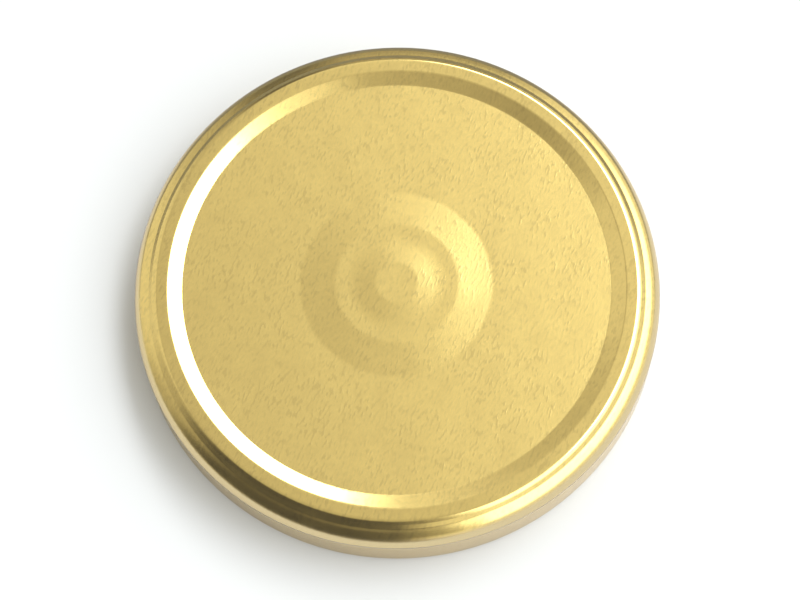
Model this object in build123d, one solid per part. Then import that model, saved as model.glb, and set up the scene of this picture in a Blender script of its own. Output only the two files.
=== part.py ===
from build123d import *
from math import acos, cos, degrees, hypot, radians, sin, tan
import os

# Twist off lid for a 66 mm jar finish: one lacquered tinplate pressing with a
# flowed in sealing ring. Millimetres, +Z up. The lid rests on its rolled curl
# with its top face up, and the origin is the centre of the circle it rests on.

# Sheet and overall size
sheet = 0.20                   # tinplate thickness
lid_diameter = 69.9            # over the curl, the widest place
lid_height = 9.5               # from the foot of the curl to the raised land

# Rim of the top, measured inwards from the widest place
shoulder_width = 2.30          # from the widest place to the foot of the step
step_width = 0.80              # gentle step between shoulder and land
land_width = 1.75              # raised flat ring, the highest part of the lid
bevel_width = 1.90             # slope from the land down to the panel
step_depth = 0.68              # foot of the step below the land
panel_depth = 0.70             # panel below the land
panel_crease_round = 0.30      # crisp crease at the foot of the bevel
land_inner_round = 0.80        # soft upper edge of the bevel
land_outer_round = 1.20        # softer still, on the way down to the shoulder
step_round = 0.30

# Safety button, popped up in the middle of the panel, measured outwards
disc_radius = 2.75             # flat centre disc
inner_cone_width = 3.05
ring_width = 2.30              # flat ring between the two cones
outer_cone_width = 4.50
disc_rise = 0.20               # centre disc above the flat ring
ring_rise = 0.30               # flat ring above the panel
button_crease_round = 6.00     # the cones are so shallow that their creases are wide

# Shoulder and skirt
shoulder_slope = 20.0          # degrees, where the shoulder leaves the step
shoulder_round = 2.65
skirt_taper = 2.0              # degrees, the skirt widens towards the curl

# Curl, rolled inwards, with its raw edge tucked in behind the skirt
curl_diameter = 1.60
curl_gap = 0.12                # between the raw edge and the skirt

# Lugs, pressed inwards out of the curl to catch the jar's thread
lug_count = 4
lug_width = 12.5               # along the rim
lug_reach = 1.25               # nose of the lug inwards of the curl
lug_pinch = 0.25               # lug thinner than the curl, above and below
lug_corner_round = 1.60        # corners of the nose, seen from below
lug_edge_round = 0.42          # upper and lower edges
lug_edge_most = 0.80           # the most of half the lug's height that they may take

# Sealing ring, flowed into the channel under the land and the shoulder
seal_start = 0.60              # its inner edge outwards of the panel's crease
seal_depth = 1.00              # its sealing face below the top of the land
seal_inner_slope = 40.0        # degrees, its inner edge
seal_inner_round = 0.40
seal_turn = 0.20               # where its face turns down, inwards of the step's foot
seal_outer_slope = 38.0        # degrees, its outer edge up against the skirt
seal_outer_round = 1.50

# Radii worked out from the sizes above
lid_radius = lid_diameter / 2
step_radius = lid_radius - shoulder_width
land_outer_radius = step_radius - step_width
land_inner_radius = land_outer_radius - land_width
panel_radius = land_inner_radius - bevel_width
inner_cone_foot = disc_radius + inner_cone_width
outer_cone_top = inner_cone_foot + ring_width
outer_cone_foot = outer_cone_top + outer_cone_width
curl_radius = curl_diameter / 2
curl_centre = lid_radius - curl_radius
lug_nose = lid_radius - curl_diameter - lug_reach

# Levels worked out from the sizes above
land_z = lid_height
panel_z = land_z - panel_depth
ring_z = panel_z + ring_rise
disc_z = ring_z + disc_rise
step_z = land_z - step_depth
seal_z = land_z - seal_depth
curl_z = curl_radius
lug_height = curl_diameter - 2 * lug_pinch


def curl_touch():
    """Where the straight skirt runs into the round of the curl."""
    lean = radians(skirt_taper)
    return curl_centre + curl_radius * cos(lean), curl_z + curl_radius * sin(lean)


def shoulder_corner():
    """Where the line that leaves the step would meet the line of the skirt."""
    fall = tan(radians(shoulder_slope))
    lean = tan(radians(skirt_taper))
    touch_r, touch_z = curl_touch()
    top_r = touch_r - (step_z - touch_z) * lean
    drop = (top_r - step_radius) * fall / (1 - fall * lean)
    return top_r + drop * lean, step_z - drop


def fitted_shoulder_round():
    """The shoulder's round, no larger than fits between the step and the skirt."""
    corner_r, corner_z = shoulder_corner()
    run = hypot(corner_r - step_radius, corner_z - step_z)
    turn = radians(90 - shoulder_slope - skirt_taper)
    return min(shoulder_round, (run - step_round) / tan(turn / 2))


def folds():
    """The folds of the pressed sheet, on its visible face, each with its round."""
    return [
        ((0, disc_z), 0),
        ((disc_radius, disc_z), button_crease_round),
        ((inner_cone_foot, ring_z), button_crease_round),
        ((outer_cone_top, ring_z), button_crease_round),
        ((outer_cone_foot, panel_z), button_crease_round),
        ((panel_radius, panel_z), panel_crease_round),
        ((land_inner_radius, land_z), land_inner_round),
        ((land_outer_radius, land_z), land_outer_round),
        ((step_radius, step_z), step_round),
        (shoulder_corner(), fitted_shoulder_round()),
        (curl_touch(), 0),
    ]


def face_line(depth):
    """The line of the sheet in section, `depth` under its visible face, with the curl."""
    points = [Vector(*point) for point, _ in folds()]
    rounds = [size for _, size in folds()]
    runs = [(after - before).normalized() for before, after in zip(points, points[1:])]
    under = [Vector(run.Y, -run.X) for run in runs]
    line = [points[0] + under[0] * depth]
    fillets = []
    for point, size, before, after in zip(points[1:-1], rounds[1:-1], under, under[1:]):
        line.append(point + (before + after) * (depth / (1 + before.dot(after))))
        turns_down = before.cross(after).Z < 0
        fillets.append(size - depth if turns_down else size + depth)
    line.append(points[-1] + under[-1] * depth)
    pressed = FilletPolyline(*line, radius=fillets)
    # the raw edge stops short of the skirt by the gap
    tuck = degrees(acos((curl_radius - sheet - curl_gap) / curl_radius))
    curl = CenterArc((curl_centre, curl_z), curl_radius - depth, skirt_taper, tuck - 360)
    return pressed.edges() + curl.edges(), line[0], curl @ 1


def sheet_section():
    """The sheet between its visible face and the face inside the lid."""
    outside, outside_axis, outside_raw = face_line(0)
    inside, inside_axis, inside_raw = face_line(sheet)
    ends = [
        Edge.make_line(outside_axis, inside_axis),
        Edge.make_line(outside_raw, inside_raw),
    ]
    return Face(Wire(outside + inside + ends))


def seal_section():
    """The pool of compound in the channel, cut off by the sheet above it."""
    slope = tan(radians(seal_inner_slope))
    inner = panel_radius + seal_start
    outer_turn = step_radius - seal_turn
    outer_drop = (lid_radius - outer_turn) * tan(radians(seal_outer_slope))
    free_face = FilletPolyline(
        (inner - sheet / slope, panel_z + sheet),
        (inner + (panel_z - seal_z) / slope, seal_z),
        (outer_turn, seal_z),
        (lid_radius, seal_z - outer_drop),
        radius=[seal_inner_round, seal_outer_round],
    )
    above = Polyline(free_face @ 1, (lid_radius, land_z), (inner, land_z), free_face @ 0)
    pool = Face(Wire(free_face.edges() + above.edges()))
    under_land = (land_outer_radius, seal_z)
    return (pool - sheet_section()).faces().sort_by_distance(under_land)[0]


def turned(section):
    """A section drawn in (radius, height), turned about the lid's axis."""
    return revolve(Plane.XZ * section, Axis.Z)


def lug_block(inset):
    """The tongue of one lug on +X, with every face drawn in by `inset`."""
    nose = lug_nose + inset
    half_width = lug_width / 2 - inset
    # the root of the tongue ends out of sight in the hollow of the curl
    band = Circle(curl_centre + curl_radius / 2) - Circle(nose)
    plan = band & Pos(nose, 0) * Rectangle(2 * nose, 2 * half_width)
    plan = fillet(plan.vertices().group_by(Axis.X)[0], lug_corner_round - inset)
    thick = lug_height - 2 * inset
    block = extrude(plan, thick)
    edge_round = min(lug_edge_round, lug_edge_most * lug_height / 2) - inset
    block = fillet(block.faces().filter_by(Axis.Z).edges(), edge_round)
    return Pos(0, 0, curl_z - thick / 2) * block


def cap_shell():
    """The whole tinplate pressing: turned sheet with the lugs pressed out of its curl."""
    shell = turned(sheet_section())
    hollow = Pos(0, 0, curl_z) * Torus(curl_centre, curl_radius - sheet)
    tongue = lug_block(0) - hollow
    cavity = lug_block(sheet)
    for place in PolarLocations(0, lug_count):
        shell = shell + place * tongue - place * cavity
    return shell


def sealing_ring():
    """The compound ring, face to face with the underside of the sheet."""
    return turned(seal_section())


if __name__ == "__main__":
    os.makedirs("parts", exist_ok=True)
    nodes = {"cap_shell": cap_shell(), "sealing_ring": sealing_ring()}
    for name, solid in nodes.items():
        export_step(solid, f"parts/{name}.step")
        print(name, "volume", round(solid.volume, 1), "mm3")
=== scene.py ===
# %% [markdown]
# # A twist off jar lid in gold lacquered tinplate
#
# The lid is one sheet of tinplate, 0.2 mm thick, pressed, curled and lacquered, with a ring of
# sealing compound flowed into its channel. Almost all of its look is what it mirrors, so the
# lesson spends its care on smooth surfaces, on the lacquered metal and on the light.
#
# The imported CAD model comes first, as the frame that everything else is fitted to. Its two nodes
# have the right sizes, but a CAD mesh is cut into few, long facets, and a mirror shows every one.
# So both are replaced below by finer meshes, turned from the same named sizes.

# %% Load the frame
from math import acos, asin, atan2, ceil, cos, degrees, pi, radians, sin, tan

import bmesh
import bpy
from mathutils import Matrix, Vector


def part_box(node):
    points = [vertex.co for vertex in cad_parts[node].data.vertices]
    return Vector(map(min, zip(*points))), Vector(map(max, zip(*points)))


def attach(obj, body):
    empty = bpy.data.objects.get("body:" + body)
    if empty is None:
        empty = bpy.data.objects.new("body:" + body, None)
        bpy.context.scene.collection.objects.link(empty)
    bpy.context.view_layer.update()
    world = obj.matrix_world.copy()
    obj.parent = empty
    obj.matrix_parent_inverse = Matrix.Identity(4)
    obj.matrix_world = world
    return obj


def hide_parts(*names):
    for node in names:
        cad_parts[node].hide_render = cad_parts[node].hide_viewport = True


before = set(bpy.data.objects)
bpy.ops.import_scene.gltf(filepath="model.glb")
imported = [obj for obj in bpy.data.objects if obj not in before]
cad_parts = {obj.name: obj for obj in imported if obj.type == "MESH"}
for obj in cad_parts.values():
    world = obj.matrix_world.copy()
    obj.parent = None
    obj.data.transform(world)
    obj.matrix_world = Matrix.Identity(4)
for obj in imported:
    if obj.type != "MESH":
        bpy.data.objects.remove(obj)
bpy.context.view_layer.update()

MM = 0.001
_, high = (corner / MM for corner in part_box("cap_shell"))
lid_radius = high.x
lid_height = high.z
print(f"lid: {2 * lid_radius:.1f} mm across and {lid_height:.1f} mm high")

# %% [markdown]
# ## The sizes of the pressing
#
# A press tool is drawn as a line in section: straight runs that meet at folds, each fold with a
# round. The same few sizes give the line here. Widths run from the middle outwards and from the
# widest place inwards, so that the lid keeps its proportions when one of them changes.

# %% Sizes, in millimetres
sheet = 0.20                 # thickness of the tinplate
shoulder_width = 2.30        # widest place to the foot of the step
step_width = 0.80            # gentle step from the land down to the shoulder
land_width = 1.75            # the raised flat ring
bevel_width = 1.90
step_depth = 0.68
panel_depth = 0.70
disc_radius = 2.75           # flat disc in the middle of the safety button
inner_cone_width = 3.05
ring_width = 2.30
outer_cone_width = 4.50
disc_rise = 0.20
ring_rise = 0.30
shoulder_slope = 20.0        # degrees
skirt_taper = 2.0            # degrees
curl_radius = 0.80
curl_gap = 0.12              # raw edge to skirt

step_radius = lid_radius - shoulder_width
land_outer = step_radius - step_width
land_inner = land_outer - land_width
panel_radius = land_inner - bevel_width
inner_cone_foot = disc_radius + inner_cone_width
outer_cone_top = inner_cone_foot + ring_width
outer_cone_foot = outer_cone_top + outer_cone_width
curl_centre = lid_radius - curl_radius
panel_z = lid_height - panel_depth
ring_z = panel_z + ring_rise
step_z = lid_height - step_depth
print(f"panel radius {panel_radius:.2f} mm, land from {land_inner:.2f} to {land_outer:.2f} mm")

# %% [markdown]
# ## A line with round bends
#
# One helper turns folds into points. Blender could bevel the corners of a curve, but then the
# points fall where the modifier puts them. Here each bend is stepped off as an arc, and every
# point carries the direction that faces out of the sheet, because the inside of the sheet is the
# same line moved straight back by the thickness. Two extra points hold each flat run flat right
# up to its bend. Without them the shading of a bend leaks across the whole flat.

# %% Helper: bent lines
BEND_STEP = radians(5)
HOLD = 0.05                  # how far before and after a bend its run is held flat


def bent_line(folds):
    """[(point, outward direction)] along straight runs that meet at rounded folds (r, z, round)."""
    spots = [Vector(fold[:2]) for fold in folds]
    runs = [(after - before).normalized() for before, after in zip(spots, spots[1:])]
    line = [(spots[0], Vector((-runs[0].y, runs[0].x)))]
    for spot, fold, come, go in zip(spots[1:], folds[1:], runs, runs[1:]):
        turn = atan2(come.x * go.y - come.y * go.x, come.dot(go))
        reach = fold[2] * tan(abs(turn) / 2)
        side = 1 if turn > 0 else -1
        facing = Vector((-come.y, come.x))
        start = spot - come * reach
        centre = start + facing * side * fold[2]
        steps = max(2, ceil(abs(turn) / BEND_STEP))
        line.append((start - come * HOLD, facing))
        for step in range(steps + 1):
            swung = Matrix.Rotation(turn * step / steps, 2)
            line.append((centre + swung @ (start - centre), swung @ facing))
        line.append((spot + go * (reach + HOLD), swung @ facing))
    line.append((spots[-1], Vector((-runs[-1].y, runs[-1].x))))
    return line


print("a right angle with a 1 mm round has", len(bent_line([(0, 0, 0), (9, 0, 1), (9, -9, 0)])), "points")

# %% [markdown]
# ## The pressed line
#
# From the middle outwards: the safety button with its two gentle cones, which pops up when the
# vacuum is lost, the flat panel, the bevel up to the land, the small step down to the shoulder,
# and the skirt. The shoulder's own corner is where the line that leaves the step meets the line
# of the skirt, so it is worked out and not guessed. The cones rise less than four degrees, and
# their creases are bent over a wide round, which the eye reads as a soft edge in the reflection.

# %% Line of the panel, land, shoulder and skirt
button_round = 6.0
soft_round = 22.0            # at the foot of the inner cone, whose crease hardly shows
crease_round = 0.30          # the crisp crease between panel and bevel
land_inner_round = 0.80
land_outer_round = 1.20
step_round = 0.30
shoulder_round = 2.65

fall = tan(radians(shoulder_slope))
lean = tan(radians(skirt_taper))
touch_r = curl_centre + curl_radius * cos(radians(skirt_taper))
touch_z = curl_radius + curl_radius * sin(radians(skirt_taper))
skirt_top_r = touch_r - (step_z - touch_z) * lean
drop = (skirt_top_r - step_radius) * fall / (1 - fall * lean)

pressed_line = bent_line([
    (0, ring_z + disc_rise, 0),
    (disc_radius, ring_z + disc_rise, button_round),
    (inner_cone_foot, ring_z, soft_round),
    (outer_cone_top, ring_z, button_round),
    (outer_cone_foot, panel_z, button_round),
    (panel_radius, panel_z, crease_round),
    (land_inner, lid_height, land_inner_round),
    (land_outer, lid_height, land_outer_round),
    (step_radius, step_z, step_round),
    (skirt_top_r + drop * lean, step_z - drop, shoulder_round),
    (touch_r, touch_z, 0),
])
print("pressed line:", len(pressed_line), "points")

# %% [markdown]
# ## The curl and its lugs
#
# The skirt ends in a hollow curl, rolled inwards until the raw edge nearly meets the skirt. At
# four places a punch flattens the curl inwards into a lug, which catches the jar's thread. Both
# are drawn as lines with the same number of points, and a weight that changes round the rim
# slides each point from one to the other. That gives the soft pressed flanks of a real lug,
# where a boolean would give knife edges.

# %% Curl and lug in section
lug_reach = 1.25
lug_half_height = 0.55
lug_edge_round = 0.42
LUG_POINTS = 40
CURL_STEP = radians(7)
TINY = 1e-6                  # as good as zero

curl_middle = Vector((curl_centre, curl_radius))
tuck = acos((curl_radius - sheet - curl_gap) / curl_radius)


def arc(start, end, steps):
    """The curl's own round between two angles, as points with outward directions."""
    turns = [start + (end - start) * step / steps for step in range(steps + 1)]
    facings = [Vector((cos(turn), sin(turn))) for turn in turns]
    return [(curl_middle + facing * curl_radius, facing) for facing in facings]


def spread(line, count):
    """The same line with evenly spaced points."""
    lengths = [(after[0] - before[0]).length for before, after in zip(line, line[1:])]
    even = []
    for index in range(count + 1):
        left = sum(lengths) * index / count
        step = 0
        while step < len(lengths) - 1 and left > lengths[step]:
            left -= lengths[step]
            step += 1
        share = min(1, left / max(lengths[step], TINY))
        point, facing = (a.lerp(b, share) for a, b in zip(line[step], line[step + 1]))
        even.append((point, facing.normalized()))
    return even


rise = asin(lug_half_height / curl_radius)
begin_angle, leave_angle = radians(skirt_taper), rise - pi
join_angle, raw_angle = -rise - pi, radians(skirt_taper) + tuck - 2 * pi
first_arc = arc(begin_angle, leave_angle, ceil((begin_angle - leave_angle) / CURL_STEP))
inner_arc = arc(leave_angle, join_angle, LUG_POINTS)
last_arc = arc(join_angle, raw_angle, ceil((join_angle - raw_angle) / CURL_STEP))
neck_r = first_arc[-1][0].x
nose_r = lid_radius - 2 * curl_radius - lug_reach
tongue = bent_line([
    (neck_r, curl_radius - lug_half_height, 0),
    (nose_r, curl_radius - lug_half_height, lug_edge_round),
    (nose_r, curl_radius + lug_half_height, lug_edge_round),
    (neck_r, curl_radius + lug_half_height, 0),
])
plain_line = pressed_line[:-1] + first_arc + inner_arc[1:-1] + last_arc
lug_line = pressed_line[:-1] + first_arc + spread(tongue, LUG_POINTS)[1:-1] + last_arc
print("plain and lug lines:", len(plain_line), len(lug_line), "points; nose at", round(nose_r, 2), "mm")

# %% [markdown]
# ## Places round the rim
#
# The lid's mesh is a grid: points of the section one way, places round the rim the other. The
# places stand closer together at the flanks of the lugs, where the line changes fast. A lug's
# outline from below is one more bent line. Its height at a place, as a share of the lug's reach,
# is the weight there: 1 is the whole lug and 0 the plain curl.

# %% Places round the rim
lug_count = 4
lug_width = 12.5
flank_half = 0.45            # half the width of a lug's flank
nose_corner_round = 1.4
root_round = 0.5
ROUGH_STEP = radians(2)
FINE_STEP = radians(0.4)
FINE_REACH = 2.4             # how far either side of a flank the places stand close together

nose_plan = bent_line([
    (0, lug_reach, 0),
    (lug_width / 2 - flank_half, lug_reach, nose_corner_round),
    (lug_width / 2 + flank_half, 0, root_round),
    (lug_width, 0, 0),
])
lug_angle = 2 * pi / lug_count


def from_lug(angle):
    """How far along the rim a place is from the middle of the nearest lug."""
    return abs((angle + lug_angle / 2) % lug_angle - lug_angle / 2) * nose_r


def lug_weight(angle):
    """1 on the middle of a lug, 0 on the plain curl, and in between on a flank."""
    across = from_lug(angle)
    for (before, _), (after, _) in zip(nose_plan, nose_plan[1:]):
        if before.x <= across <= after.x:
            share = (across - before.x) / max(after.x - before.x, TINY)
            return (before.y + (after.y - before.y) * share) / lug_reach
    return 0.0


def rim_angles():
    """Places round the rim, closer together on the lugs' flanks."""
    angles = [0.0]
    while angles[-1] < 2 * pi - TINY:
        near = abs(from_lug(angles[-1]) - lug_width / 2) < FINE_REACH
        angles.append(angles[-1] + (FINE_STEP if near else ROUGH_STEP))
    stretch = 2 * pi / angles[-1]
    return [angle * stretch for angle in angles[:-1]]


angles = rim_angles()
print(len(angles), "places round the rim; weight on a lug's middle:", round(lug_weight(0), 2))

# %% [markdown]
# ## Turning the sheet
#
# The inside of the sheet runs back along the same points as its outside, so the sheet is closed
# at the raw edge and has its true thickness everywhere. A screw modifier could turn one line,
# but not one that changes on its way round, so the grid is built point by point. The points on
# the axis are shared by all places, which leaves no hole in the middle of the button.

# %% Turn the pressing
SHARP = radians(60)          # corners over this stay sharp, which are those of the raw edge


def turned_mesh(name, rings, angles, material_of_row, closed):
    """A smooth mesh from rings(angle) -> [(r, z)], one ring of points for each place round the rim."""
    builder = bmesh.new()
    columns = []
    for angle in angles:
        column = []
        for row, point in enumerate(rings(angle)):
            if point.x < TINY and columns:
                column.append(columns[0][row])
            else:
                spot = (point.x * cos(angle) * MM, point.x * sin(angle) * MM, point.y * MM)
                column.append(builder.verts.new(spot))
        columns.append(column)
    rows = len(columns[0])
    for here, there in zip(columns, columns[1:] + columns[:1]):
        for row in range(rows if closed else rows - 1):
            up = (row + 1) % rows
            corners = list(dict.fromkeys([here[row], there[row], there[up], here[up]]))
            if len(corners) > 2:
                face = builder.faces.new(corners)
                face.smooth = True
                face.material_index = material_of_row(row)
    bmesh.ops.recalc_face_normals(builder, faces=builder.faces)
    mesh = bpy.data.meshes.new(name)
    builder.to_mesh(mesh)
    builder.free()
    return mesh


def sheet_rings(angle):
    """Both faces of the sheet at one place round the rim, from the axis out and back again."""
    weight = lug_weight(angle)
    outside, inside = [], []
    for (plain, plain_facing), (lug, lug_facing) in zip(plain_line, lug_line):
        outside.append(plain.lerp(lug, weight))
        inside.append((plain - plain_facing * sheet).lerp(lug - lug_facing * sheet, weight))
    return outside + inside[::-1]


def sheet_material(row):
    """0 outside, 1 inside, 2 on the raw edge."""
    raw_edge = len(plain_line) - 1
    if row == raw_edge:
        return 2
    return 0 if row < raw_edge else 1


shell_mesh = turned_mesh("pressed_lid", sheet_rings, angles, sheet_material, closed=False)
shell_mesh.set_sharp_from_angle(angle=SHARP)
pressed_lid = bpy.data.objects.new("pressed_lid", shell_mesh)
bpy.context.collection.objects.link(pressed_lid)
print("pressing:", len(shell_mesh.polygons), "faces")

# %% [markdown]
# ## The sealing ring
#
# The compound is poured into the channel as a liquid and spun, so its free face is smooth with
# soft edges. The side that can't be seen runs inside the thickness of the sheet, so that no gap
# shows. A ring that is the same all round needs only one line of points.

# %% Sealing ring
seal_start = 0.60            # its inner edge outwards of the panel's crease
seal_depth = 1.00            # its face below the top of the land
seal_inner_slope = 40.0      # degrees
seal_outer_slope = 38.0      # degrees
seal_turn = 0.20             # where the face turns down, inwards of the step's foot
seal_inner_round = 0.4
seal_outer_round = 1.5
hidden_depth = 0.12          # its hidden side below the visible face of the sheet
SEAL_PLACES = 240

seal_z = lid_height - seal_depth
seal_inner = panel_radius + seal_start
seal_outer = step_radius - seal_turn
skirt_inside = lid_radius - sheet
inner_fall = tan(radians(seal_inner_slope))
outer_fall = tan(radians(seal_outer_slope))
free_face = [point for point, _ in bent_line([
    (seal_inner - sheet / 2 / inner_fall, panel_z - sheet / 2, 0),
    (seal_inner + (panel_z - seal_z) / inner_fall, seal_z, seal_inner_round),
    (seal_outer, seal_z, seal_outer_round),
    (skirt_inside, seal_z - (skirt_inside - seal_outer) * outer_fall, 0),
])]
hidden_side = [point - facing * hidden_depth for point, facing in pressed_line
               if point.x > free_face[0].x and point.y > free_face[-1].y]
seal_line = free_face + hidden_side[::-1]
seal_angles = [2 * pi * step / SEAL_PLACES for step in range(SEAL_PLACES)]

seal_mesh = turned_mesh("flowed_sealing_ring", lambda angle: seal_line, seal_angles,
                        lambda row: 0, closed=True)
flowed_sealing_ring = bpy.data.objects.new("flowed_sealing_ring", seal_mesh)
bpy.context.collection.objects.link(flowed_sealing_ring)
print("sealing ring:", len(seal_mesh.polygons), "faces")

# %% [markdown]
# ## Colours and nodes
#
# Colours are written as sRGB hex values, as a paint chart gives them, and one function turns
# them to the linear values that a shader takes. One more function adds a node with its settings
# and its links.

# %% Helpers: colours and nodes
def linear(hex_code):
    """An sRGB hex colour as the linear colour that a shader takes."""
    shares = [int(hex_code[place:place + 2], 16) / 255 for place in (1, 3, 5)]
    return [s / 12.92 if s <= 0.04045 else ((s + 0.055) / 1.055) ** 2.4 for s in shares] + [1.0]


def add(tree, kind, links=None, out=0, **settings):
    """Adds one node and gives its output. links holds each input's value, or what feeds it."""
    node = tree.nodes.new(kind)
    for name, value in settings.items():
        setattr(node, name, value)
    for name, value in (links or {}).items():
        if isinstance(value, bpy.types.NodeSocket):
            tree.links.new(value, node.inputs[name])
        else:
            node.inputs[name].default_value = value
    return node.outputs[out] if node.outputs else None


def empty_tree(owner):
    """The node tree of a material or world, with nothing in it yet."""
    owner.use_nodes = True
    owner.node_tree.nodes.clear()
    return owner.node_tree


def speckle(tree, place, size, turn=0.0, detail=2.0):
    """Noise with grains of the given size (x, y, z) in millimetres, turned about the lid's axis."""
    grid = add(tree, "ShaderNodeMapping", {
        "Vector": place, "Rotation": (0, 0, radians(turn)), "Scale": [side * MM for side in size]},
        vector_type="TEXTURE")
    return add(tree, "ShaderNodeTexNoise", {"Vector": grid, "Scale": 1.0, "Detail": detail})


print("mid grey #808080 is", round(linear("#808080")[0], 3), "in linear light")

# %% [markdown]
# ## Gold lacquered tinplate
#
# Tinplate is steel with a bright tin face, and the gold is a lacquer a few thousandths of a
# millimetre thick, stoved on to it. The light goes through the lacquer and comes back off the
# tin, so the colour belongs to a metal's mirror image: metallic 1 with a gold base colour, and
# the default IOR. A bare metal turns white at a glancing look, but inside a lacquer light always
# meets the tin steeply, so the edge tint keeps it gold there. The lacquer's own wet surface is a
# thin clear coat, IOR 1.5, and a trace of sheen stands for the haze of fine scratches in it.
#
# The rolled sheet has a stone finish: short dashes that all lean one way, because they were in
# the sheet before it was pressed. They stay on the flat panel and, fainter, on the land. The
# bevel, the rim and the skirt were drawn over a polished tool, which smoothed them. That
# difference is what the eye reads as satin and bright gold. The dashes of a real sheet are about
# 0.15 mm wide, too fine for the render, so they are drawn about twice as coarse.
#
# Down the skirt the colour turns a little paler. This is a painted reflection of the pale table,
# which the steep skirt mirrors at a glancing look. Where the skirt is stretched over the tool it
# has fine upright drawing lines. A thin sheet is never quite flat either, so a slow wave of a few
# hundredths of a millimetre bends its reflections.

# %% Sizes and levels of the finish
# all sizes are in millimetres, and a grain's size is (x, y, z)
stone_lean = -22                        # degrees, the way the dashes lean
dash_size = (0.34, 0.95, 1)
dash_from, dash_full = 0.50, 0.68       # the noise at which a dash starts, and is full
cluster_size = (3.5, 3.5, 3.5)          # the dashes stand thicker in some places
cluster_from, cluster_full, cluster_least = 0.35, 0.60, 0.35
fine_size = (0.25, 0.55, 1)             # the grain between the dashes
mottle_size = (1.6, 1.6, 1.6)
wave_size = (8, 8, 8)
line_size = (0.5, 0.5, 14)              # upright drawing lines on the skirt
deep_shade, pale_shade = -0.9, 0.4      # the mix of grains that is wholly deep, or pale
dash_relief = 0.005
line_relief = 0.006
wave_relief = 0.07
line_rough = 0.08                       # what the drawing lines add to the roughness
land_stone = 0.25                       # how much of the stone finish is left on the land
land_rough = 0.11
reflection_and_lines_start = lid_height - 1.1            # the height at which the skirt's painted reflection and its drawing lines begin
reflection_and_lines_full = reflection_and_lines_start - 0.6

# where one finish ends and the next one starts, in millimetres from the lid's axis
finish_rings = (
    (panel_radius, "panel"),
    (panel_radius + 0.2, "drawn"),
    (land_inner - 0.2, "drawn"),
    (land_inner + 0.1, "land"),
    (land_outer - 0.3, "land"),
    (land_outer + 0.1, "drawn"),
)


def by_radius(tree, radius, **amounts):
    """A value that changes with the radius, with one amount for each of panel, drawn and land."""
    share = add(tree, "ShaderNodeMath", {0: radius, 1: lid_radius * MM}, operation="DIVIDE")
    profile = add(tree, "ShaderNodeValToRGB", {"Fac": share})
    stops = profile.node.color_ramp.elements
    stops[0].color = (amounts["panel"], amounts["panel"], amounts["panel"], 1)
    stops[1].color = (amounts["drawn"], amounts["drawn"], amounts["drawn"], 1)
    for ring, finish in finish_rings:
        amount = amounts[finish]
        stops.new(ring / lid_radius).color = (amount, amount, amount, 1)
    return profile


# between these heights the skirt turns paler, as a painted reflection of the table
print(f"lacquer thins from {reflection_and_lines_start:.1f} to {reflection_and_lines_full:.1f} mm above the table")

# %% [markdown]
# ## The gold material
#
# The finish is built from noise in millimetres, laid through the sheet in its own directions,
# because a picture wrapped round the lid would stretch on the bevel and the rim. The same grain
# drives colour and relief, so that each dash is both a little deeper in colour and a little
# raised. The inside has the same lacquer in a slightly paler gold, and is less polished.

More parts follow.
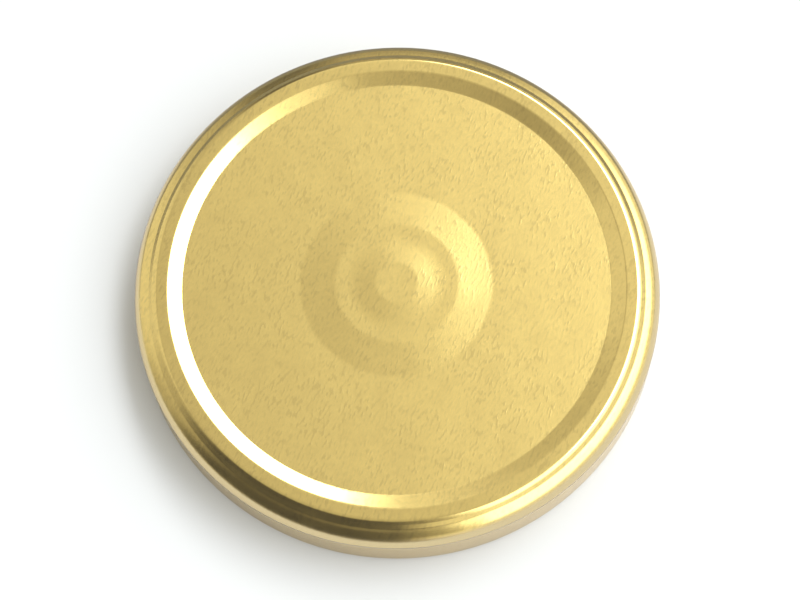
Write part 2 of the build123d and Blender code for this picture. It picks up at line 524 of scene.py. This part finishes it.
# %% Gold lacquered tinplate
def gold_lacquered_tinplate(name, pale, deep, skirt_reflection, satin, drawn):
    """Lacquered tinplate: gold from pale to deep, a paler skirt colour as painted reflection, satin and
    drawn roughness.
    """
    material = bpy.data.materials.new(name)
    tree = empty_tree(material)
    place = add(tree, "ShaderNodeTexCoord", out="Object")
    height = add(tree, "ShaderNodeSeparateXYZ", {"Vector": place}, out="Z")
    outwards = add(tree, "ShaderNodeVectorMath", {0: place, 1: (1, 1, 0)}, operation="MULTIPLY")
    radius = add(tree, "ShaderNodeVectorMath", {0: outwards}, "Value", operation="LENGTH")

    # stone finish on the flat panel, less of it on the land, none where the sheet was drawn
    stone = by_radius(tree, radius, panel=1, drawn=0, land=land_stone)

    # the skirt: a paler colour there as painted reflection of the table, and the drawing lines
    on_skirt = add(tree, "ShaderNodeMapRange", {
        "Value": height, "From Min": reflection_and_lines_start * MM, "From Max": reflection_and_lines_full * MM},
        interpolation_type="SMOOTHSTEP")
    lines = speckle(tree, place, line_size, detail=1.0)
    lines = add(tree, "ShaderNodeMath", {0: lines, 1: on_skirt}, operation="MULTIPLY")

    # dashes in clusters, over a finer grain
    dashes = add(tree, "ShaderNodeMapRange", {
        "Value": speckle(tree, place, dash_size, stone_lean, detail=1.0),
        "From Min": dash_from, "From Max": dash_full}, interpolation_type="SMOOTHSTEP")
    clusters = add(tree, "ShaderNodeMapRange", {
        "Value": speckle(tree, place, cluster_size),
        "From Min": cluster_from, "From Max": cluster_full, "To Min": cluster_least},
        interpolation_type="SMOOTHSTEP")
    fine = speckle(tree, place, fine_size, stone_lean)
    grain = add(tree, "ShaderNodeMath", {0: dashes, 1: clusters, 2: fine}, operation="MULTIPLY_ADD")

    # deeper gold in the dashes, paler in the mottle, and a paler painted reflection of the table on the
    # skirt
    mottle = speckle(tree, place, mottle_size)
    shade = add(tree, "ShaderNodeMath", {0: mottle, 1: grain}, operation="SUBTRACT")
    depth = add(tree, "ShaderNodeMapRange", {
        "Value": shade, "From Min": deep_shade, "From Max": pale_shade})
    gold = add(tree, "ShaderNodeMix", {
        "Factor": depth, "A": linear(deep), "B": linear(pale)}, "Result", data_type="RGBA")
    colour = add(tree, "ShaderNodeMix", {
        "Factor": on_skirt, "A": gold, "B": linear(skirt_reflection)}, "Result", data_type="RGBA")

    # satin panel, brighter where the sheet was drawn
    roughness = by_radius(tree, radius, panel=satin, drawn=drawn, land=land_rough)
    roughness = add(tree, "ShaderNodeMath", {
        0: lines, 1: line_rough, 2: roughness}, operation="MULTIPLY_ADD")

    # relief of the dashes, the drawing lines and the slow wave, as one height
    relief = add(tree, "ShaderNodeMath", {0: grain, 1: dash_relief * MM}, operation="MULTIPLY")
    relief = add(tree, "ShaderNodeMath", {0: relief, 1: stone}, operation="MULTIPLY")
    relief = add(tree, "ShaderNodeMath", {
        0: lines, 1: line_relief * MM, 2: relief}, operation="MULTIPLY_ADD")
    wave = speckle(tree, place, wave_size, detail=1.0)
    relief = add(tree, "ShaderNodeMath", {
        0: wave, 1: wave_relief * MM, 2: relief}, operation="MULTIPLY_ADD")
    normal = add(tree, "ShaderNodeBump", {"Height": relief, "Strength": 1.0, "Distance": 1.0})

    metal = add(tree, "ShaderNodeBsdfPrincipled", {
        "Base Color": colour, "Metallic": 1.0, "Roughness": roughness, "Normal": normal,
        "Coat Weight": 0.25, "Coat Roughness": 0.08, "Coat IOR": 1.5,
        "Sheen Weight": 0.05, "Sheen Roughness": 0.8,
        "Specular Tint": (1.0, 0.92, 0.79, 1.0)})
    add(tree, "ShaderNodeOutputMaterial", {"Surface": metal})
    return material


# the skirt colour, paler than the gold outside, is a painted reflection of the pale table
outside_gold = gold_lacquered_tinplate(
    "gold_lacquered_tinplate", pale="#F9DC83", deep="#E6CB79", skirt_reflection="#DEC999",
    satin=0.23, drawn=0.18)
inside_gold = gold_lacquered_tinplate(
    "gold_lacquered_tinplate_inside", pale="#E9CF86", deep="#DFC277", skirt_reflection="#DFC277",
    satin=0.30, drawn=0.22)
print("gold outside and inside:", outside_gold.name, "and", inside_gold.name)

# %% [markdown]
# ## The cut edge and the compound
#
# The raw edge of the curl was sheared after the sheet was lacquered, so it is bare steel and
# tin: a dull grey metal with fine shear lines across it. The sealing compound is plastisol, a
# soft PVC that was poured and baked. It is matt cream with a faint skin of flow marks, IOR 1.53.

# %% Cut edge and plastisol
shear_size = (0.15, 0.15, 1.5)          # millimetres
shear_relief = 0.02
cloud_size = (4, 4, 4)                  # slow clouds in the poured compound
skin_size = (0.35, 0.35, 0.35)          # its fine skin
skin_relief = 0.015


def sheared_tinplate(name, pale, dark):
    """Bare sheared metal, rougher where it is dark."""
    material = bpy.data.materials.new(name)
    tree = empty_tree(material)
    place = add(tree, "ShaderNodeTexCoord", out="Object")
    shear = speckle(tree, place, shear_size)
    colour = add(tree, "ShaderNodeMix", {
        "Factor": shear, "A": linear(dark), "B": linear(pale)}, "Result", data_type="RGBA")
    roughness = add(tree, "ShaderNodeMapRange", {"Value": shear, "To Min": 0.6, "To Max": 0.3})
    normal = add(tree, "ShaderNodeBump", {
        "Height": shear, "Strength": 0.5, "Distance": shear_relief * MM})
    metal = add(tree, "ShaderNodeBsdfPrincipled", {
        "Base Color": colour, "Metallic": 1.0, "Roughness": roughness, "Normal": normal})
    add(tree, "ShaderNodeOutputMaterial", {"Surface": metal})
    return material


def baked_plastisol(name, pale, deep):
    """Soft cream plastic with slow clouds under a fine skin."""
    material = bpy.data.materials.new(name)
    tree = empty_tree(material)
    place = add(tree, "ShaderNodeTexCoord", out="Object")
    cloud = speckle(tree, place, cloud_size, detail=3.0)
    skin = speckle(tree, place, skin_size)
    colour = add(tree, "ShaderNodeMix", {
        "Factor": cloud, "A": linear(deep), "B": linear(pale)}, "Result", data_type="RGBA")
    roughness = add(tree, "ShaderNodeMapRange", {"Value": skin, "To Min": 0.38, "To Max": 0.6})
    relief = add(tree, "ShaderNodeMath", {0: cloud, 1: 3.0, 2: skin}, operation="MULTIPLY_ADD")
    normal = add(tree, "ShaderNodeBump", {
        "Height": relief, "Strength": 0.6, "Distance": skin_relief * MM})
    plastic = add(tree, "ShaderNodeBsdfPrincipled", {
        "Base Color": colour, "Metallic": 0.0, "IOR": 1.53, "Roughness": roughness, "Normal": normal})
    add(tree, "ShaderNodeOutputMaterial", {"Surface": plastic})
    return material


cut_edge = sheared_tinplate("sheared_tinplate", pale="#C3C1B8", dark="#96948C")
compound = baked_plastisol("baked_plastisol", pale="#E9E4D5", deep="#DCD5C3")
for material in (outside_gold, inside_gold, cut_edge):
    shell_mesh.materials.append(material)
seal_mesh.materials.append(compound)
print("pressing:", [material.name for material in shell_mesh.materials])
print("sealing ring:", [material.name for material in seal_mesh.materials])

# %% [markdown]
# ## Joining the frame
#
# Each piece stands for one CAD node and rides on the lid's only body. The material slot beside
# it is listed, but nothing here uses it.

# %% Join the frame
for piece, node, slot in ((pressed_lid, "cap_shell", "lacquered_tinplate"),
                          (flowed_sealing_ring, "sealing_ring", "plastisol")):
    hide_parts(node)
    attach(piece, "root")
    print(piece.name, "stands for", node)

# %% [markdown]
# ## The table
#
# A white paper sheet. Its colour is kept well below white, so that the lid's shadow stays on it,
# and a little light of its own, for the camera only, brings the paper up to the white of the
# picture. Towards mirror rays the paper darkens behind the lid, as it does where a studio's
# light falls off, and that draws the thin dark lines along the far side of the rim.
#
# From below the paper is clear, and it has a round opening where the lid stands. Nobody sees
# that opening from above, and it lets light into the lid, so that its inside can be looked at.

# %% Table
floor_reach = 1500           # millimetres
opening = curl_centre        # where the lid stands on the paper
FLOOR_PLACES = 96

edges = []
for reach in (opening * MM, floor_reach * MM):
    for place in range(FLOOR_PLACES):
        turn = 2 * pi * place / FLOOR_PLACES
        edges.append((reach * cos(turn), reach * sin(turn), 0))
quads = []
for place in range(FLOOR_PLACES):
    beside = (place + 1) % FLOOR_PLACES
    quads.append((place, place + FLOOR_PLACES, beside + FLOOR_PLACES, beside))
floor_mesh = bpy.data.meshes.new("floor")
floor_mesh.from_pydata(edges, [], quads)
floor = bpy.data.objects.new("floor", floor_mesh)
bpy.context.collection.objects.link(floor)
print("table:", len(quads), "faces round an opening of", round(2 * opening, 1), "mm")

# %% [markdown]
# ## White paper
#
# Paper scatters light evenly, so a diffuse shader is enough. It is a touch warm, as uncoated
# paper is in daylight.

# %% White paper
floor_shade = 0.66
floor_blue = 0.91            # blue as a share of red and green
floor_glow = 0.098
back_shade = 0.19
shade_start, shade_full = 20, 45        # millimetres behind the middle of the lid

paper = bpy.data.materials.new("white_paper")
tree = empty_tree(paper)
path = add(tree, "ShaderNodeLightPath").node.outputs
place = add(tree, "ShaderNodeTexCoord", out="Object")
back = add(tree, "ShaderNodeSeparateXYZ", {"Vector": place}, "Y")
behind = add(tree, "ShaderNodeMapRange", {
    "Value": back, "From Min": shade_start * MM, "From Max": shade_full * MM},
    interpolation_type="SMOOTHSTEP")
behind = add(tree, "ShaderNodeMath", {0: behind, 1: path["Is Glossy Ray"]}, operation="MULTIPLY")
white = add(tree, "ShaderNodeMapRange", {
    "Value": behind, "To Min": floor_shade, "To Max": back_shade})
warm = add(tree, "ShaderNodeMath", {0: white, 1: floor_blue}, operation="MULTIPLY")
white = add(tree, "ShaderNodeCombineColor", {"Red": white, "Green": white, "Blue": warm})
matt = add(tree, "ShaderNodeBsdfDiffuse", {"Color": white})
glow = add(tree, "ShaderNodeMath", {0: path["Is Camera Ray"], 1: floor_glow}, operation="MULTIPLY")
glow = add(tree, "ShaderNodeEmission", {"Color": linear("#FFFFFF"), "Strength": glow})
lit = add(tree, "ShaderNodeAddShader", {0: matt, 1: glow})
from_below = add(tree, "ShaderNodeNewGeometry", out="Backfacing")
clear = add(tree, "ShaderNodeBsdfTransparent")
surface = add(tree, "ShaderNodeMixShader", {0: from_below, 1: lit, 2: clear})
add(tree, "ShaderNodeOutputMaterial", {"Surface": surface})
floor_mesh.materials.append(paper)
print("paper:", floor_shade, "of white, and", back_shade, "in mirrors behind the lid")

# %% [markdown]
# ## Directions in the sky
#
# A mirror shows the room, so the room is the light. Lamps would do for a matt piece, but their
# sharp edges would show in this metal, so the room is drawn in the world, as soft patches.
# Directions are told by two angles. Azimuth 0 is the right of the picture and 90 the far side.
# Zenith 0 is straight up and 90 the horizon.

# %% Directions in the sky
LOWEST = 0.1                 # where the flat ceiling ends, short of the horizon

world = bpy.data.worlds.new("soft_studio")
bpy.context.scene.world = world
tree = empty_tree(world)
view = add(tree, "ShaderNodeTexCoord", out="Generated")
way = add(tree, "ShaderNodeSeparateXYZ", {"Vector": view}).node.outputs
azimuth = add(tree, "ShaderNodeMath", {0: way["Y"], 1: way["X"]}, operation="ARCTAN2")
zenith = add(tree, "ShaderNodeMath", {0: way["Z"]}, operation="ARCCOSINE")
upright = add(tree, "ShaderNodeMath", {0: way["Z"], 1: LOWEST}, operation="MAXIMUM")


def between(start, end, start_soft, end_soft):
    """1 between two azimuths in degrees, fading over the soft widths at its ends."""
    middle = (start + end) / 2
    half = (end - start) / 2
    off = add(tree, "ShaderNodeMath", {0: azimuth, 1: radians(middle)}, operation="SUBTRACT")
    off = add(tree, "ShaderNodeMath", {0: off, 1: pi, 2: -pi}, operation="WRAP")
    sides = [add(tree, "ShaderNodeMapRange", {
        "Value": off, "From Min": radians(edge - soft / 2), "From Max": radians(edge + soft / 2)},
        interpolation_type="SMOOTHSTEP") for edge, soft in ((-half, start_soft), (half, -end_soft))]
    return add(tree, "ShaderNodeMath", {0: sides[0], 1: sides[1]}, operation="MULTIPLY")


def patch(azimuths, azimuth_soft, zenith_from, zenith_soft):
    """The share of a soft-edged patch of the sky, from a zenith angle down to the horizon."""
    down = add(tree, "ShaderNodeMapRange", {
        "Value": zenith, "From Min": radians(zenith_from - zenith_soft / 2),
        "From Max": radians(zenith_from + zenith_soft / 2)}, interpolation_type="SMOOTHSTEP")
    side = between(*azimuths, *azimuth_soft)
    return add(tree, "ShaderNodeMath", {0: side, 1: down}, operation="MULTIPLY")


print("the sky has", len(tree.nodes), "nodes so far")

# %% [markdown]
# ## The room
#
# The room grows brighter from left to right, and each row below lays one patch over it. The lid
# reads the patches at different places. Its panel mirrors the sky near the zenith, its bevel the
# sky across the lid at forty degrees, and its round shoulder sweeps all the way down to the
# table. A bright side on the right and a dark side towards the lower left give the gold its
# contrast, and broad streaks keep the dark side from looking painted. The last two rows even
# the room out near the horizon, so that the lid is neither burnt out nor black from a low side
# view.

# %% Room
room_left, room_right = 0.59, 0.88
room_start, room_end = -0.1, 0.35       # on the ceiling, from left to right
room_slant = 0.45                       # how far that direction turns towards the back
streak_scale = 14
streak_from, streak_full = 0.45, 0.75
dark_level, streak_level = 0.07, 0.15

streaks = add(tree, "ShaderNodeTexNoise", {
    "W": azimuth, "Scale": streak_scale, "Detail": 2.0}, noise_dimensions="1D")
dark_side = add(tree, "ShaderNodeMapRange", {
    "Value": streaks, "From Min": streak_from, "From Max": streak_full,
    "To Min": dark_level, "To Max": streak_level}, interpolation_type="SMOOTHSTEP")
aside = add(tree, "ShaderNodeMath", {
    0: way["Y"], 1: room_slant, 2: way["X"]}, operation="MULTIPLY_ADD")
aside = add(tree, "ShaderNodeMath", {0: aside, 1: upright}, operation="DIVIDE")
level = add(tree, "ShaderNodeMapRange", {
    "Value": aside, "From Min": room_start, "From Max": room_end,
    "To Min": room_left, "To Max": room_right}, interpolation_type="SMOOTHSTEP")

# azimuths, soft widths of the two ends, zenith angle, its soft width, level
room_patches = (
    ((137, 182), (16, 10), 28, 16, 0.83),         # pale wall on the left
    ((178, 292), (24, 14), 14, 10, 0.5),          # half shade towards the lower left
    ((198, 278), (18, 27), 26, 16, dark_side),
    ((67, 125), (20, 16), 58, 12, 0.41),          # low behind the lid
    ((103, 118), (8, 8), 56, 12, 0.14),           # a dark gap in it
    ((-66, 48), (10, 32), 22, 8, 2.7),            # bright side on the right
    ((-84, 60), (16, 34), 66, 12, 0.95),          # evened out at its foot
    ((190, 285), (20, 20), 84, 14, 0.42),         # and so is the dark side
)
for azimuths, azimuth_soft, zenith_from, zenith_soft, brightness in room_patches:
    share = patch(azimuths, azimuth_soft, zenith_from, zenith_soft)
    level = add(tree, "ShaderNodeMix", {
        "Factor": share, "A": level, "B": brightness}, "Result")
print(len(room_patches), "patches in the room")

# %% [markdown]
# ## The window
#
# The window leans over the lid from the right. Its inner edge is straight on a ceiling one unit
# up, and its lower edge comes down from the right towards the back. Bright light is cool
# daylight and dim light is warm from the walls, so the colour of the light follows its level.
# The camera sees plain white instead.

# %% Window
inner_edge, inner_soft = 0.44, 0.16     # on the ceiling
window_slant = 0.27
low_edge, low_soft = 36, 8              # degrees from the zenith, at azimuth 0
window_fall = 0.22                      # how fast the lower edge comes down with the azimuth
window_level = 7.65
colour_least, colour_most = 0.4, 3.0    # the levels between which the colour changes
green_power, blue_power = 0.043, 0.17

aslant = add(tree, "ShaderNodeMath", {
    0: way["Y"], 1: window_slant, 2: way["X"]}, operation="MULTIPLY_ADD")
across = add(tree, "ShaderNodeMath", {0: aslant, 1: upright}, operation="DIVIDE")
past_edge = add(tree, "ShaderNodeMapRange", {
    "Value": across, "From Min": inner_edge - inner_soft / 2,
    "From Max": inner_edge + inner_soft / 2}, interpolation_type="SMOOTHSTEP")
lowered = add(tree, "ShaderNodeMath", {
    0: azimuth, 1: -window_fall, 2: zenith}, operation="MULTIPLY_ADD")
above = add(tree, "ShaderNodeMapRange", {
    "Value": lowered, "From Min": radians(low_edge + low_soft / 2),
    "From Max": radians(low_edge - low_soft / 2)}, interpolation_type="SMOOTHSTEP")
window = add(tree, "ShaderNodeMath", {0: past_edge, 1: above}, operation="MULTIPLY")
span = between(start=-24, end=100, start_soft=24, end_soft=34)
window = add(tree, "ShaderNodeMath", {0: window, 1: span}, operation="MULTIPLY")
level = add(tree, "ShaderNodeMix", {
    "Factor": window, "A": level, "B": window_level}, "Result")

held = add(tree, "ShaderNodeClamp", {"Value": level, "Min": colour_least, "Max": colour_most})
green = add(tree, "ShaderNodeMath", {0: held, 1: green_power}, operation="POWER")
blue = add(tree, "ShaderNodeMath", {0: held, 1: blue_power}, operation="POWER")
light = add(tree, "ShaderNodeCombineColor", {"Red": 1.0, "Green": green, "Blue": blue})
room = add(tree, "ShaderNodeBackground", {"Color": light, "Strength": level})
white = add(tree, "ShaderNodeBackground", {"Color": linear("#FFFFFF"), "Strength": 1.0})
seen = add(tree, "ShaderNodeLightPath", out="Is Camera Ray")
surface = add(tree, "ShaderNodeMixShader", {0: seen, 1: room, 2: white})
add(tree, "ShaderNodeOutputWorld", {"Surface": surface})
print("the whole sky has", len(tree.nodes), "nodes")


# %% [markdown]
# ## The camera
#
# It looks down on the lid from 17 degrees in front of the upright, a quarter of a metre away,
# so close that the near side of the rim shows its skirt and the far side hides it. The small
# offset of the aim puts the lid a little above the middle of the picture.

# %% Camera
lean_back = radians(17.33)
swing = radians(3.24)                   # to the right of straight in front
camera_distance = 248.9                 # millimetres, as the aim is
aim_right, aim_up = 0.467, -2.190
focal_length = 85.3

camera = bpy.data.objects.new("camera", bpy.data.cameras.new("camera"))
bpy.context.collection.objects.link(camera)
bpy.context.scene.camera = camera
backwards = Vector((sin(swing) * sin(lean_back), -cos(swing) * sin(lean_back), cos(lean_back)))
right = Vector((0, 1, 0)).cross(backwards).normalized()
upwards = backwards.cross(right)
aim = Vector((0, 0, panel_z)) + right * aim_right + upwards * aim_up
turn = Matrix((right, upwards, backwards)).transposed().to_4x4()
camera.matrix_world = Matrix.Translation((aim + backwards * camera_distance) * MM) @ turn
camera.data.lens = focal_length
camera.data.sensor_width = 36
camera.data.clip_start = 0.01
camera.data.clip_end = 20
bpy.context.scene.view_settings.view_transform = "Standard"
print(f"camera: {camera_distance:.0f} mm away, {degrees(lean_back):.1f} degrees from upright")
